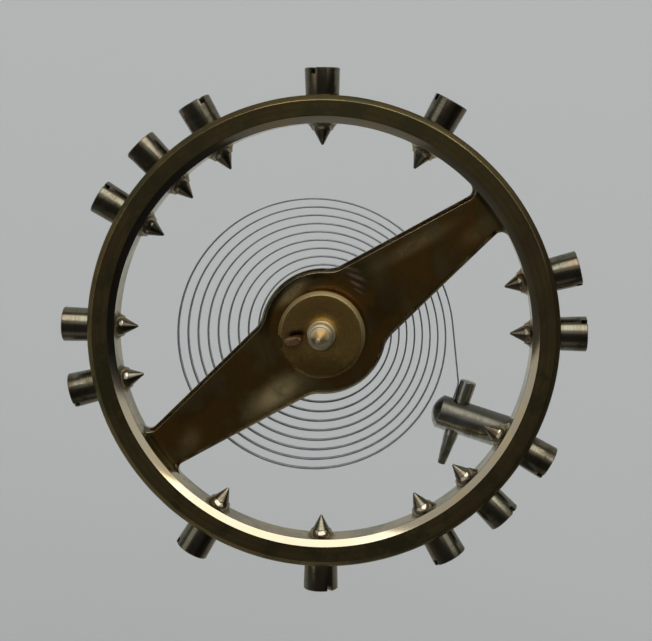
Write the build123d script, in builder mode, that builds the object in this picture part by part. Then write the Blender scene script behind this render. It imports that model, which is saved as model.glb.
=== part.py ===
from build123d import *
import math
import os

# Balance wheel of a pocket watch with its staff, roller, hairspring and stud.
# Lengths are millimetres and angles are degrees, counter-clockwise seen from above.
# The staff stands along Z with its roller end up.
# The origin is on the staff axis, halfway up the rim.

os.makedirs("parts", exist_ok=True)

# Rim, a bevelled ring
rim_diameter = 12.0
rim_width = 0.70
rim_height = 1.10
rim_bevel = 0.14

# Arm, the broad bar across the rim, with a round hub in the middle
arm_turn = 36.5
arm_recess = 0.60
arm_thickness = 0.30
arm_end_width = 1.02
arm_waist_width = 1.63
arm_root_width = 2.26
arm_hub_diameter = 3.24
arm_hub_fillet = 0.70
arm_end_fillet = 0.20
arm_bevel = 0.10

# Balance screws, driven in from outside
screw_turns = [0, 14.5, 61, 90.1, 119.4, 134.2, 148.8, 178.5, 193.5, 239, 269.5, 299.5, 314.5, 330]
slot_turns = [40, -25, 30, 62, -55, 15, -38, 8, 35, -20, 55, -35, 42, -40]
screw_head_length = 0.68
screw_head_root_diameter = 0.85
screw_head_end_diameter = 0.89
screw_head_edge = 0.02
screw_slot_width = 0.13
screw_slot_depth = 0.16
screw_shank_diameter = 0.44
screw_point_length = 0.36
screw_point_diameter = 0.05
screw_clearance = 0.01

# Collars that the holes raise on the inner wall of the rim
collar_height = 0.18
collar_root_diameter = 0.84
collar_lip = 0.03
collar_hollow_share = 0.30

# Balance staff
staff_flange_diameter = 1.60
staff_flange_thickness = 0.40
staff_seat_diameter = 1.00
staff_rivet_diameter = 1.16
staff_rivet_height = 0.09
staff_roller_seat_diameter = 0.72
staff_collet_shoulder_diameter = 0.94
staff_collet_seat_diameter = 0.80
staff_collet_seat_overhang = 0.06
staff_post_diameter = 0.66
staff_post_length = 0.46
staff_post_edge = 0.05
staff_neck_diameter = 0.48
staff_lower_neck_diameter = 0.58
staff_lower_neck_length = 0.17
staff_cone_length = 0.62
staff_lower_cone_length = 0.34
staff_cone_hollow_share = 0.28
pivot_diameter = 0.11
pivot_length = 0.30
pivot_edge = 0.012
fit_clearance = 0.01

# Roller table and impulse jewel
roller_diameter = 2.20
roller_thickness = 0.34
roller_bevel = 0.06
roller_notch_diameter = 0.44
roller_notch_depth = 0.12
jewel_turn = 190
jewel_distance = 0.70
jewel_length = 0.42
jewel_width = 0.22
jewel_stand = 0.45
jewel_edge = 0.03

# Hairspring, one flat strip wound on edge
spring_thickness = 0.04
spring_height = 0.18
spring_pitch = 0.235
spring_first_radius = 0.96
spring_quarter_turns = 47
spring_drift_turn = 212
spring_drift_share = 0.16
spring_bend_radius = 0.20
spring_leaving_turn = 5
spring_lead_radius = 40.0
spring_lead_angle = 2.0
spring_hook_radius = 0.50
spring_hook_angle = 24.8
spring_approach_length = 0.30

# Hairspring collet and its pin
collet_diameter = 1.58
collet_height = 0.44
collet_hole_distance = 0.585
collet_hole_diameter = 0.26
collet_slit = 0.08
collet_edge = 0.04
collet_pin_root_diameter = 0.13
collet_pin_end_diameter = 0.09
collet_pin_length = 1.20
collet_pin_gap = 0.008

# Stud and its taper pin
stud_diameter = 0.88
stud_rim_gap = 0.16
stud_dome = 0.20
stud_hole_distance = 0.43
stud_length = 2.35
stud_edge = 0.06
stud_hole_diameter = 0.52
stud_pin_root_diameter = 0.43
stud_pin_taper_diameter = 0.37
stud_pin_end_diameter = 0.20
stud_pin_edge = 0.03
stud_pin_root_reach = 0.99
stud_pin_end_reach = 1.32
stud_pin_point_length = 0.80
stud_pin_gap = 0.010

# Every cut runs past its wall by this much
overrun = 0.20

# Levels along the staff, worked out from the sizes above
rim_radius = rim_diameter / 2
rim_inner_radius = rim_radius - rim_width
arm_top = rim_height / 2 - arm_recess
arm_bottom = arm_top - arm_thickness
flange_top = arm_top + staff_flange_thickness
roller_top = flange_top + roller_thickness
post_top = roller_top + staff_post_length
upper_pivot_root = post_top + staff_cone_length
upper_pivot_tip = upper_pivot_root + pivot_length
stud_level = -rim_height / 2 - stud_rim_gap - stud_diameter / 2
collet_top = stud_level + collet_height / 2
collet_bottom = stud_level - collet_height / 2
rivet_bottom = arm_bottom - staff_rivet_height
seat_bottom = collet_bottom - staff_collet_seat_overhang
lower_neck_bottom = seat_bottom - staff_lower_neck_length
lower_pivot_root = lower_neck_bottom - staff_lower_cone_length
lower_pivot_tip = lower_pivot_root - pivot_length


def direction(turn):
    """Unit step in the XY plane that points along a turn."""
    return math.cos(math.radians(turn)), math.sin(math.radians(turn))


def stepped(point, turn, distance):
    """Point at a distance from another one, along a turn."""
    across, up = direction(turn)
    return point[0] + across * distance, point[1] + up * distance


def hollow_point(start, end, share):
    """Middle point of an arc that hangs below the straight line between two points."""
    halfway = (start[0] + end[0]) / 2
    return halfway, end[1] + (start[1] - end[1]) * share


# Balance wheel: rim, arm and the raised collars are one piece
with BuildPart() as collar:
    with BuildSketch():
        collar_root = (rim_inner_radius, collar_root_diameter / 2)
        collar_tip = (
            rim_inner_radius - collar_height,
            screw_shank_diameter / 2 + screw_clearance + collar_lip,
        )
        collar_back = rim_inner_radius + rim_width / 2
        with BuildLine():
            Polyline((collar_tip[0], 0), (collar_back, 0), (collar_back, collar_root[1]), collar_root)
            ThreePointArc(collar_root, hollow_point(collar_root, collar_tip, collar_hollow_share), collar_tip)
            Line(collar_tip, (collar_tip[0], 0))
        make_face()
    revolve(axis=Axis.X)

# The arm's ends spread into a ring that lies inside the rim's section
rim_middle_radius = rim_inner_radius + rim_width / 2
with BuildSketch() as arm_foot:
    Circle(rim_radius - rim_bevel)
    Circle(rim_inner_radius, mode=Mode.SUBTRACT)

with BuildPart() as arm:
    with BuildSketch(Plane.XY.offset(arm_top).rotated((0, 0, arm_turn))) as arm_outline:
        hub_radius = arm_hub_diameter / 2
        root = (math.sqrt(hub_radius**2 - (arm_root_width / 2) ** 2), arm_root_width / 2)
        end = (rim_middle_radius, arm_end_width / 2)
        waist = ((root[0] + end[0]) / 2, arm_waist_width / 2)
        with BuildLine():
            Line((0, 0), (0, root[1]))
            Line((0, root[1]), root)
            ThreePointArc(root, waist, end)
            Line(end, (end[0], 0))
            Line((end[0], 0), (0, 0))
        make_face()
        mirror(about=Plane.XZ)
        mirror(about=Plane.YZ)
        Circle(hub_radius)
        add(arm_foot.sketch)
        halfway = (hub_radius + rim_inner_radius) / 2
        hub_corners = [v for v in arm_outline.vertices() if math.hypot(v.X, v.Y) < halfway]
        fillet(hub_corners, arm_hub_fillet)
        outer_corners = [v for v in arm_outline.vertices() if math.hypot(v.X, v.Y) > halfway]
        end_corners = [v for v in outer_corners if math.hypot(v.X, v.Y) < rim_middle_radius]
        fillet(end_corners, arm_end_fillet)
    extrude(amount=-arm_thickness)
    chamfer(arm.faces().sort_by(Axis.Z)[-1].edges(), arm_bevel)

screw_planes = [
    Plane(origin=(*stepped((0, 0), turn, rim_middle_radius), 0), z_dir=(*direction(turn), 0))
    for turn in screw_turns
]

with BuildPart() as balance_wheel:
    with BuildSketch(Plane.XZ) as rim_section:
        with Locations((rim_middle_radius, 0)):
            Rectangle(rim_width, rim_height)
        chamfer(rim_section.vertices(), rim_bevel)
    revolve(axis=Axis.Z)
    add(arm.part)
    with Locations(*[Location((0, 0, 0), (0, 0, turn)) for turn in screw_turns]):
        add(collar.part)
    with BuildSketch(*screw_planes):
        Circle(screw_shank_diameter / 2 + screw_clearance)
    extrude(amount=rim_width / 2 + collar_height + overrun, both=True, mode=Mode.SUBTRACT)
    with BuildSketch(Plane.XY.offset(arm_top)):
        Circle(staff_seat_diameter / 2 + fit_clearance)
    extrude(amount=-arm_thickness - overrun, mode=Mode.SUBTRACT)
balance_wheel.part.label = "balance_wheel"
export_step(balance_wheel.part, "parts/balance_wheel.step")

# Balance screws: slotted head outside the rim, plain shank through it, point inside
head_end = rim_radius + screw_head_length
shank_end = rim_inner_radius - collar_height
point_end = shank_end - screw_point_length
for number, (turn, slot_turn) in enumerate(zip(screw_turns, slot_turns), start=1):
    outward = Plane.XY.rotated((0, 0, turn))
    across = Vector(*direction(turn + 90)) * math.cos(math.radians(slot_turn))
    slot_line = across + Vector(0, 0, math.sin(math.radians(slot_turn)))
    head_face = Plane(origin=outward.x_dir * head_end, x_dir=slot_line, z_dir=outward.x_dir)
    with BuildPart() as balance_screw:
        with BuildSketch(outward):
            with BuildLine():
                Polyline(
                    (point_end, 0),
                    (point_end, screw_point_diameter / 2),
                    (shank_end, screw_shank_diameter / 2),
                    (rim_radius, screw_shank_diameter / 2),
                    (rim_radius, screw_head_root_diameter / 2),
                    (head_end - screw_head_edge, screw_head_end_diameter / 2),
                    (head_end, screw_head_end_diameter / 2 - screw_head_edge),
                    (head_end, 0),
                    close=True,
                )
            make_face()
        revolve(axis=Axis((0, 0, 0), outward.x_dir))
        with BuildSketch(head_face):
            Rectangle(screw_head_end_diameter + overrun, screw_slot_width)
        extrude(amount=-screw_slot_depth, mode=Mode.SUBTRACT)
    balance_screw.part.label = f"balance_screw_{number:02d}"
    export_step(balance_screw.part, f"parts/{balance_screw.part.label}.step")

# Balance staff: flange and rivet hold the arm, seats carry the roller and the collet
pivot_radius = pivot_diameter / 2
with BuildPart() as balance_staff:
    with BuildSketch(Plane.XZ):
        upper_cone_root = (staff_neck_diameter / 2, post_top)
        upper_cone_tip = (pivot_radius, upper_pivot_root)
        lower_cone_root = (staff_lower_neck_diameter / 2, lower_neck_bottom)
        lower_cone_tip = (pivot_radius, lower_pivot_root)
        with BuildLine():
            Polyline(
                upper_cone_tip,
                (pivot_radius, upper_pivot_tip - pivot_edge),
                (pivot_radius - pivot_edge, upper_pivot_tip),
                (0, upper_pivot_tip),
                (0, lower_pivot_tip),
                (pivot_radius - pivot_edge, lower_pivot_tip),
                (pivot_radius, lower_pivot_tip + pivot_edge),
                lower_cone_tip,
            )
            ThreePointArc(
                lower_cone_tip,
                (
                    pivot_radius + (lower_cone_root[0] - pivot_radius) * staff_cone_hollow_share,
                    (lower_pivot_root + lower_neck_bottom) / 2,
                ),
                lower_cone_root,
            )
            Polyline(
                lower_cone_root,
                (staff_lower_neck_diameter / 2, seat_bottom),
                (staff_collet_seat_diameter / 2, seat_bottom),
                (staff_collet_seat_diameter / 2, collet_top),
                (staff_collet_shoulder_diameter / 2, collet_top),
                (staff_collet_shoulder_diameter / 2, rivet_bottom),
                (staff_rivet_diameter / 2, rivet_bottom),
                (staff_rivet_diameter / 2, arm_bottom),
                (staff_seat_diameter / 2, arm_bottom),
                (staff_seat_diameter / 2, arm_top),
                (staff_flange_diameter / 2, arm_top),
                (staff_flange_diameter / 2, flange_top),
                (staff_roller_seat_diameter / 2, flange_top),
                (staff_roller_seat_diameter / 2, roller_top),
                (staff_post_diameter / 2, roller_top),
                (staff_post_diameter / 2, post_top - staff_post_edge),
                (staff_post_diameter / 2 - staff_post_edge, post_top),
                upper_cone_root,
            )
            ThreePointArc(
                upper_cone_root,
                (
                    pivot_radius + (upper_cone_root[0] - pivot_radius) * staff_cone_hollow_share,
                    (post_top + upper_pivot_root) / 2,
                ),
                upper_cone_tip,
            )
        make_face()
    revolve(axis=Axis.Z)
balance_staff.part.label = "balance_staff"
export_step(balance_staff.part, "parts/balance_staff.step")

# Roller table: disc on the flange, notched at its edge in line with the jewel
with BuildPart() as roller_table:
    with BuildSketch(Plane.XY.offset(flange_top)):
        Circle(roller_diameter / 2)
        Circle(staff_roller_seat_diameter / 2 + fit_clearance, mode=Mode.SUBTRACT)
    extrude(amount=roller_thickness)
    outer_edge = roller_table.edges().group_by(Axis.Z)[-1].sort_by(SortBy.RADIUS)[-1]
    chamfer(outer_edge, roller_bevel)
    notch_distance = roller_diameter / 2 - roller_notch_depth + roller_notch_diameter / 2
    with BuildSketch(Plane.XY.offset(flange_top)):
        with Locations(stepped((0, 0), jewel_turn, notch_distance)):
            Circle(roller_notch_diameter / 2)
        with Locations(Location((*stepped((0, 0), jewel_turn, jewel_distance), 0), (0, 0, jewel_turn))):
            SlotOverall(jewel_length + fit_clearance * 2, jewel_width + fit_clearance * 2)
    extrude(amount=roller_thickness + overrun, mode=Mode.SUBTRACT)
roller_table.part.label = "roller_table"
export_step(roller_table.part, "parts/roller_table.step")

# Impulse jewel: a bar with round sides that stands up from the roller table
with BuildPart() as impulse_jewel:
    with BuildSketch(Plane.XY.offset(flange_top)):
        with Locations(Location((*stepped((0, 0), jewel_turn, jewel_distance), 0), (0, 0, jewel_turn))):
            SlotOverall(jewel_length, jewel_width)
    extrude(amount=roller_thickness + jewel_stand)
    chamfer(impulse_jewel.edges().group_by(Axis.Z)[-1], jewel_edge)
impulse_jewel.part.label = "impulse_jewel"
export_step(impulse_jewel.part, "parts/impulse_jewel.step")

# Hairspring route, walked outward and clockwise from the collet to the stud.
# Each leg is a start point, a heading, a radius and an angle; zero radius is a straight leg.
pin_side = spring_thickness / 2 + collet_pin_gap
spring_line_distance = collet_hole_distance + collet_pin_gap / 2 + spring_thickness
spring_start_turn = spring_leaving_turn + 90 * spring_quarter_turns
bend_centre_distance = spring_first_radius - spring_bend_radius
bend_rise = math.degrees(
    math.asin((spring_line_distance - spring_bend_radius) / bend_centre_distance)
)
entry_heading = spring_start_turn - bend_rise
entry_length = bend_centre_distance * math.cos(math.radians(bend_rise))
hole_half_chord = math.sqrt((collet_diameter / 2) ** 2 - collet_hole_distance**2)

legs = []


def add_straight(start, heading, length):
    """Add a straight leg and give back where it ends and its heading."""
    legs.append((start, heading, 0, length))
    return stepped(start, heading, length), heading


def add_arc(start, heading, radius, angle):
    """Add an arc leg, clockwise where its angle is negative."""
    legs.append((start, heading, radius, angle))
    side = math.copysign(90, angle)
    centre = stepped(start, heading + side, radius)
    return stepped(centre, heading - side + angle, radius), heading + angle


entry_foot = stepped((0, 0), entry_heading + 90, spring_line_distance)
spring_inner_end = stepped(entry_foot, entry_heading, -hole_half_chord)
place, heading = add_straight(spring_inner_end, entry_heading, hole_half_chord + entry_length)
place, heading = add_arc(place, heading, spring_bend_radius, bend_rise - 90)
coil_radius = spring_first_radius
for _ in range(spring_quarter_turns):
    place, heading = add_arc(place, heading, coil_radius, -90)
    joint_turn = math.radians(heading + 90 - spring_drift_turn)
    coil_radius += spring_pitch / 4 * (1 - 2 * spring_drift_share * math.cos(joint_turn))
place, heading = add_arc(place, heading, spring_lead_radius, spring_lead_angle)
place, heading = add_arc(place, heading, spring_hook_radius, -spring_hook_angle)
place, heading = add_straight(place, heading, spring_approach_length)
spring_stud_entry = place
spring_stud_heading = heading
place, heading = add_straight(place, heading, stud_diameter)

start_plane = Plane(
    origin=(*spring_inner_end, stud_level),
    x_dir=(*direction(entry_heading + 90), 0),
    z_dir=(*direction(entry_heading), 0),
)
with BuildPart() as hairspring:
    with BuildLine(Plane.XY.offset(stud_level)) as spring_route:
        for start, leg_heading, radius, extent in legs:
            if radius:
                JernArc(start, direction(leg_heading), radius, extent)
            else:
                Line(start, stepped(start, leg_heading, extent))
    with BuildSketch(start_plane):
        Rectangle(spring_thickness, spring_height)
    sweep(path=spring_route.wires()[0])
hairspring.part.label = "hairspring"
export_step(hairspring.part, "parts/hairspring.step")


def route_points(step_angle):
    """Points along the coils, with how far the strip has turned at each."""
    points = []
    turned = 0
    for start, leg_heading, radius, extent in legs:
        if not radius:
            continue
        steps = max(1, round(abs(extent) / step_angle))
        side = math.copysign(90, extent)
        centre = stepped(start, leg_heading + side, radius)
        for step in range(steps):
            swept = extent * step / steps
            points.append((turned + abs(swept), stepped(centre, leg_heading - side + swept, radius)))
        turned += abs(extent)
    return points


coil_points = route_points(6)
least_pitch = min(
    math.dist(first, second)
    for first_turned, first in coil_points
    for second_turned, second in coil_points
    if second_turned - first_turned > 180
)
route_length = sum(
    math.radians(abs(extent)) * radius if radius else extent for _, _, radius, extent in legs
)
print(f"hairspring least gap to itself {least_pitch - spring_thickness:.3f} mm")
print(f"hairspring length {route_length:.2f} mm")
print(f"hairspring volume {hairspring.part.volume:.4f} mm3")
print(f"section times length {route_length * spring_thickness * spring_height:.4f} mm3")

# Hairspring collet: split ring pressed on the staff, drilled along a chord for the strip
chord_plane = Plane(
    origin=(*stepped((0, 0), entry_heading + 90, collet_hole_distance), stud_level),
    z_dir=(*direction(entry_heading), 0),
)
with BuildPart() as hairspring_collet:
    with BuildSketch(Plane.XY.offset(collet_bottom)):
        Circle(collet_diameter / 2)
        Circle(staff_collet_seat_diameter / 2 + fit_clearance, mode=Mode.SUBTRACT)
        slit_reach = collet_diameter / 2 + overrun
        with Locations(
            Location((*stepped((0, 0), entry_heading - 90, slit_reach / 2), 0), (0, 0, entry_heading - 90))
        ):
            Rectangle(slit_reach, collet_slit, mode=Mode.SUBTRACT)
    extrude(amount=collet_height)
    rims = hairspring_collet.edges().filter_by(GeomType.CIRCLE)
    outer_rims = [e for e in rims if e.radius > staff_collet_seat_diameter / 2 + fit_clearance * 2]
    chamfer(outer_rims, collet_edge)
    with BuildSketch(chord_plane):
        Circle(collet_hole_diameter / 2)
    extrude(amount=hole_half_chord + overrun, both=True, mode=Mode.SUBTRACT)
hairspring_collet.part.label = "hairspring_collet"
export_step(hairspring_collet.part, "parts/hairspring_collet.step")

# Collet pin: taper pin beside the strip in the chord hole
collet_pin_distance = spring_line_distance - pin_side - collet_pin_root_diameter / 2
collet_pin_foot = stepped((0, 0), entry_heading + 90, collet_pin_distance)
collet_pin_start = stepped(collet_pin_foot, entry_heading, -collet_pin_length / 2)
with BuildPart() as collet_pin:
    pin_plane = Plane(
        origin=(*collet_pin_start, stud_level),
        x_dir=(*direction(entry_heading), 0),
        z_dir=(0, 0, 1),
    )
    with BuildSketch(pin_plane):
        with BuildLine():
            Polyline(
                (0, 0),
                (0, collet_pin_root_diameter / 2),
                (collet_pin_length, collet_pin_end_diameter / 2),
                (collet_pin_length, 0),
                close=True,
            )
        make_face()
    revolve(axis=Axis(pin_plane.origin, pin_plane.x_dir))
collet_pin.part.label = "collet_pin"
export_step(collet_pin.part, "parts/collet_pin.step")

# Stud: round post with a domed end, cross-drilled for the strip and its pin.
# Its hole lies where the strip ends, and the post stands square to it.
outer_side = spring_stud_heading + 90
stud_turn = outer_side
pin_root_radius = stud_pin_root_diameter / 2
pin_taper_radius = stud_pin_taper_diameter / 2
pin_taper_length = stud_pin_root_reach + stud_pin_end_reach - stud_pin_point_length
pin_slope = (pin_root_radius - pin_taper_radius) / pin_taper_length
pin_entry_radius = pin_root_radius - pin_slope * (stud_pin_root_reach - stud_diameter / 2)
strip_in_hole = stepped(spring_stud_entry, spring_stud_heading, stud_diameter / 2)
pin_offset = spring_thickness / 2 + stud_pin_gap + pin_entry_radius
pin_middle = stepped(strip_in_hole, outer_side, pin_offset)
hole_middle = stepped(pin_middle, outer_side, stud_pin_gap + pin_entry_radius - stud_hole_diameter / 2)
stud_inner_end = stepped(hole_middle, stud_turn, -stud_hole_distance)
stud_plane = Plane(
    origin=(*stud_inner_end, stud_level),
    x_dir=(*direction(stud_turn), 0),
    z_dir=(0, 0, 1),
)
with BuildPart() as hairspring_stud:
    stud_radius = stud_diameter / 2
    dome_radius = (stud_radius**2 + stud_dome**2) / (2 * stud_dome)
    with BuildSketch(stud_plane):
        with BuildLine():
            RadiusArc((-stud_dome, 0), (0, stud_radius), dome_radius)
            Polyline(
                (0, stud_radius),
                (stud_length - stud_edge, stud_radius),
                (stud_length, stud_radius - stud_edge),
                (stud_length, 0),
                (-stud_dome, 0),
            )
        make_face()
    revolve(axis=Axis(stud_plane.origin, stud_plane.x_dir))
    hole_plane = Plane(origin=(*hole_middle, stud_level), z_dir=(*direction(spring_stud_heading), 0))
    with BuildSketch(hole_plane):
        Circle(stud_hole_diameter / 2)
    extrude(amount=stud_radius + overrun, both=True, mode=Mode.SUBTRACT)
hairspring_stud.part.label = "hairspring_stud"
export_step(hairspring_stud.part, "parts/hairspring_stud.step")

# Stud pin: taper pin that traps the strip against the wall of the hole
stud_pin_start = stepped(pin_middle, spring_stud_heading, -stud_pin_root_reach)
stud_pin_length = stud_pin_root_reach + stud_pin_end_reach
with BuildPart() as stud_pin:
    pin_plane = Plane(
        origin=(*stud_pin_start, stud_level),
        x_dir=(*direction(spring_stud_heading), 0),
        z_dir=(0, 0, 1),
    )
    with BuildSketch(pin_plane):
        with BuildLine():
            Polyline(
                (0, 0),
                (0, pin_root_radius - stud_pin_edge),
                (stud_pin_edge, pin_root_radius),
                (pin_taper_length, pin_taper_radius),
                (stud_pin_length, stud_pin_end_diameter / 2),
                (stud_pin_length, 0),
                close=True,
            )
        make_face()
    revolve(axis=Axis(pin_plane.origin, pin_plane.x_dir))
stud_pin.part.label = "stud_pin"
export_step(stud_pin.part, "parts/stud_pin.step")

print(f"stud hole at {hole_middle[0]:.3f}, {hole_middle[1]:.3f}, {stud_level:.3f} mm")
print(f"stud turn {stud_turn % 360:.2f} degrees")
print("stud outer end {:.4f}, {:.4f} mm".format(*stepped(stud_inner_end, stud_turn, stud_length)))
print(f"staff from {lower_pivot_tip:.3f} to {upper_pivot_tip:.3f}, pivots from {lower_pivot_root:.3f}")
print(f"upper pivot from {upper_pivot_root:.3f}")
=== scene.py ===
"""Finished looks of a pocket watch's balance wheel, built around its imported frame.

Sizes are millimetres until a mesh is made and metres after that. Angles are degrees,
counter-clockwise seen from the roller side.
"""

import logging
import math
from collections.abc import Sequence
from dataclasses import dataclass, field
from enum import Enum

import bmesh
import bpy
from mathutils import Matrix, Vector


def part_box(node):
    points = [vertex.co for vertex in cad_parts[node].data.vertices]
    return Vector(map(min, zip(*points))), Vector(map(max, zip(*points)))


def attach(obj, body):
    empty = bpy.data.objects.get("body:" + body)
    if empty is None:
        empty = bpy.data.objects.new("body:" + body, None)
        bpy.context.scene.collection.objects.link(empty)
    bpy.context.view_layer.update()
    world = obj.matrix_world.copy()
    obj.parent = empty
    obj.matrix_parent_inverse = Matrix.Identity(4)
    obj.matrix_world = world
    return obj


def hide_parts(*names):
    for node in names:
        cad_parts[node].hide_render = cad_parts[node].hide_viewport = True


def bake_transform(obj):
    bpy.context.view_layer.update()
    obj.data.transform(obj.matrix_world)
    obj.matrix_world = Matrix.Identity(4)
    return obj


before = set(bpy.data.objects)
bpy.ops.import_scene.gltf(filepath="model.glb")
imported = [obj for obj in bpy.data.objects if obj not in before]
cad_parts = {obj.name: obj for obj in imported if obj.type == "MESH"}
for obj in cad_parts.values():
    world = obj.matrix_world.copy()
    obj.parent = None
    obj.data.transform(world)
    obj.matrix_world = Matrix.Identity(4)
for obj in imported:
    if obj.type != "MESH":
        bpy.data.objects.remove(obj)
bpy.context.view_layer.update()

log = logging.getLogger("balance")

Point = tuple[float, float]
Corner = tuple[float, float, float]
Colour = tuple[float, float, float]
# Where a smooth step is still 0, and where it has reached 1.
Span = tuple[float, float]

MM = 0.001
# Sides of a round piece, and of the rim.
ROUND_SIDES = 120
RIM_SIDES = 360
# How far a cutting tool stands out of what it cuts.
OVERRUN = 0.2
# Points that are nearer to each other than this are one.
SAME_POINT = 0.0003
# Share of the shorter side at a corner that the corner's rounding may take.
LONGEST_ROUNDING = 0.45
# Edges between faces at a smaller angle than this are shaded smooth.
SMOOTH_BELOW = 32.0
# Pull of the larger faces on the shading, in percent.
FACE_WEIGHT = 80
# How far the clouds of a surface move for each step of a piece's seed.
SEED_SHIFT = 40.0
SPECKS_PER_MM = 9.0
# Steepness of a place between a wall, which is 0, and a bevel.
WALL_SPAN: Span = (0.4, 0.6)
# Share of its half sizes where a spot's mark sets in, and where it is full.
SPOT_SPAN: Span = (1.0, 0.2)
UP = Vector((0, 0, 1))


class Ends(Enum):
    """How a skin over a row of loops closes."""

    CAPPED = "capped"
    JOINED = "joined"


class Carve(Enum):
    """What a second shape does to a piece."""

    ADD = "UNION"
    CUT = "DIFFERENCE"


class Grain(Enum):
    """Which way the marks of the last tool run on a piece."""

    RINGS = "round its axis"
    LINES = "along its axis"
    EVEN = "every way"


class Value:
    """A number that changes over a surface, held as a socket of a node tree."""

    def __init__(self, shader: "Shader", socket: bpy.types.NodeSocket) -> None:
        """Hold a socket and the shader that it belongs to."""
        self.shader = shader
        self.socket = socket

    def maths(self, operation: str, *terms: "Value | float") -> "Value":
        """Add a Math node.

        Args:
            operation: The node's operation.
            terms: Its inputs, in order.

        Returns:
            The node's result.
        """
        node = self.shader.node("ShaderNodeMath", {"operation": operation}, dict(enumerate(terms)))
        return Value(self.shader, node.outputs[0])

    def __add__(self, other: "Value | float") -> "Value":
        """Sum of two values."""
        return self.maths("ADD", self, other)

    def __sub__(self, other: "Value | float") -> "Value":
        """Difference of two values."""
        return self.maths("SUBTRACT", self, other)

    def __rsub__(self, other: "Value | float") -> "Value":
        """Difference of a number and this value."""
        return self.maths("SUBTRACT", other, self)

    def __mul__(self, other: "Value | float") -> "Value":
        """Product of two values."""
        return self.maths("MULTIPLY", self, other)

    def __truediv__(self, other: "Value | float") -> "Value":
        """Quotient of two values."""
        return self.maths("DIVIDE", self, other)

    def __pow__(self, other: "Value | float") -> "Value":
        """Power of a value."""
        return self.maths("POWER", self, other)

    __radd__ = __add__
    __rmul__ = __mul__

    def size(self) -> "Value":
        """The value without its sign."""
        return self.maths("ABSOLUTE", self)

    def larger(self, other: "Value | float") -> "Value":
        """The larger of two values."""
        return self.maths("MAXIMUM", self, other)

    def rise(self, low: float, high: float) -> "Value":
        """A smooth step.

        Args:
            low: Where the step is still 0.
            high: Where it has reached 1. A lower number than low gives a falling step.

        Returns:
            A value from 0 to 1.
        """
        settings = {"interpolation_type": "SMOOTHSTEP"}
        sockets = {"Value": self, "From Min": low, "From Max": high}
        node = self.shader.node("ShaderNodeMapRange", settings, sockets)
        return Value(self.shader, node.outputs[0])


Input = Value | bpy.types.NodeSocket | float | tuple


class Shader:
    """The node tree of one material or of the world."""

    def __init__(self, tree: bpy.types.NodeTree) -> None:
        """Start from an empty tree."""
        self.tree = tree
        tree.nodes.clear()

    def node(
        self,
        kind: str,
        settings: dict | None = None,
        sockets: dict[str | int, Input] | None = None,
    ) -> bpy.types.Node:
        """Add a node.

        Args:
            kind: The node's type.
            settings: Attributes to set before its sockets.
            sockets: Numbers, colours or links, by the socket's name or index.

        Returns:
            The new node.
        """
        node = self.tree.nodes.new(kind)
        for key, setting in (settings or {}).items():
            setattr(node, key, setting)
        for key, given in (sockets or {}).items():
            source = given.socket if isinstance(given, Value) else given
            if isinstance(source, bpy.types.NodeSocket):
                self.tree.links.new(source, node.inputs[key])
            elif isinstance(source, tuple) and len(source) < len(node.inputs[key].default_value):
                node.inputs[key].default_value = (*source, 1.0)
            else:
                node.inputs[key].default_value = source
        return node

    def mix(self, factor: Value, first: Input, second: Input) -> bpy.types.NodeSocket:
        """Mix two colours.

        Args:
            factor: Share of the second colour.
            first: Colour where the factor is 0.
            second: Colour where the factor is 1.

        Returns:
            The mixed colour's socket.
        """
        sockets = {0: factor, 6: first, 7: second}
        return self.node("ShaderNodeMix", {"data_type": "RGBA"}, sockets).outputs[2]

    def vector(self, x: Input, y: Input, z: Input) -> bpy.types.NodeSocket:
        """Join three numbers to a vector."""
        return self.node("ShaderNodeCombineXYZ", None, {0: x, 1: y, 2: z}).outputs[0]

    def scaled(self, vector: bpy.types.NodeSocket, factor: float) -> bpy.types.NodeSocket:
        """Multiply a vector by a number."""
        sockets = {"Vector": vector, "Scale": factor}
        return self.node("ShaderNodeVectorMath", {"operation": "SCALE"}, sockets).outputs[0]

    def split(self, vector: bpy.types.NodeSocket) -> tuple[Value, Value, Value]:
        """Split a vector into its three numbers."""
        x, y, z = self.node("ShaderNodeSeparateXYZ", None, {0: vector}).outputs
        return Value(self, x), Value(self, y), Value(self, z)

    def attribute(self, name: str) -> Value:
        """Number that the mesh stores under a name."""
        node = self.node("ShaderNodeAttribute", {"attribute_name": name})
        return Value(self, node.outputs["Fac"])

    def noise(self, place: bpy.types.NodeSocket, detail: float, rough: float) -> Value:
        """Cloudy noise with features about as large as the unit of its place."""
        sockets = {"Vector": place, "Scale": 1.0, "Detail": detail, "Roughness": rough}
        return Value(self, self.node("ShaderNodeTexNoise", None, sockets).outputs[0])

    def principled(self, sockets: dict[str | int, Input]) -> None:
        """Make a Principled shader with these inputs the material's surface."""
        shader = self.node("ShaderNodeBsdfPrincipled", None, sockets)
        self.node("ShaderNodeOutputMaterial", None, {"Surface": shader.outputs[0]})


def new_material(name: str) -> tuple[bpy.types.Material, Shader]:
    """Add a material without nodes.

    Args:
        name: The material's name.

    Returns:
        The material and the shader that its nodes go into.
    """
    material = bpy.data.materials.new(name)
    material.use_nodes = True
    return material, Shader(material.node_tree)


@dataclass(frozen=True)
class Spot:
    """Place on a piece that is painted lighter or darker to stand in for light and shade. Its half
    length lies along the turn lie.
    """

    x: float
    y: float
    lie: float
    length: float
    width: float
    share: float


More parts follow.
